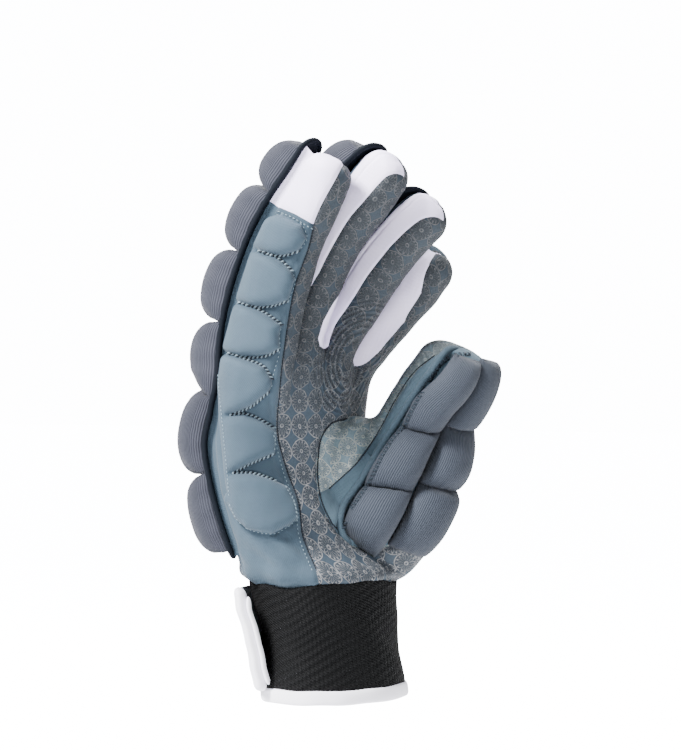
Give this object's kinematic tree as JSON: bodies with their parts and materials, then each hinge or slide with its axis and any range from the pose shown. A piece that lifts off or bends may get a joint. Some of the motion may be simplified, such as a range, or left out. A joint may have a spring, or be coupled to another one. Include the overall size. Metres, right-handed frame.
{
  "type": "field hockey glove",
  "caption": "Padded right-hand field hockey glove shown as worn, with foam pads in columns over the back, an open curled palm and a knitted wrist cuff.",
  "frame": {"origin": "centre of the wrist opening, level with the lower edge of the cuff", "axes": "+Z from the wrist to the fingertips, -Y is the side that the palm faces, +X is the thumb side of a right hand"},
  "size_m": [0.0952, 0.0993, 0.2086],
  "materials": {
    "palm_mesh": "printed knit in grey and blue-grey, matte",
    "stretch_cloth": "plain blue-grey stretch cloth, matte",
    "white_cloth": "white stretch cloth, matte",
    "dark_backing": "dark navy backing with a rolled edge, matte",
    "ribbed_pad": "fine ribbed grey cloth over foam, matte",
    "thumb_pad": "fine ribbed blue-grey cloth over foam, matte",
    "thumb_mesh": "printed grey-green knit, matte",
    "rib_knit": "black elastic rib knit, matte",
    "flap_cloth": "navy brushed cloth, matte"
  },
  "bodies": {
    "root": {"palm_panel": "palm_mesh", "back_panel": "stretch_cloth", "side_panel": "stretch_cloth", "little_finger_gusset": "white_cloth", "ring_finger_gusset": "white_cloth", "middle_finger_gusset": "white_cloth", "index_finger_gusset": "white_cloth", "thumb_mesh": "thumb_mesh", "thumb_back": "stretch_cloth", "thumb_inner_pads": "thumb_pad", "thumb_outer_pads": "thumb_pad", "back_backing": "dark_backing", "little_finger_pads": "ribbed_pad", "ring_finger_pads": "ribbed_pad", "middle_finger_pads": "ribbed_pad", "index_finger_pads": "ribbed_pad", "wrist_cuff": "rib_knit", "cuff_binding": "white_cloth", "closure_flap": "flap_cloth", "flap_binding": "white_cloth"}
  },
  "joints": []
}
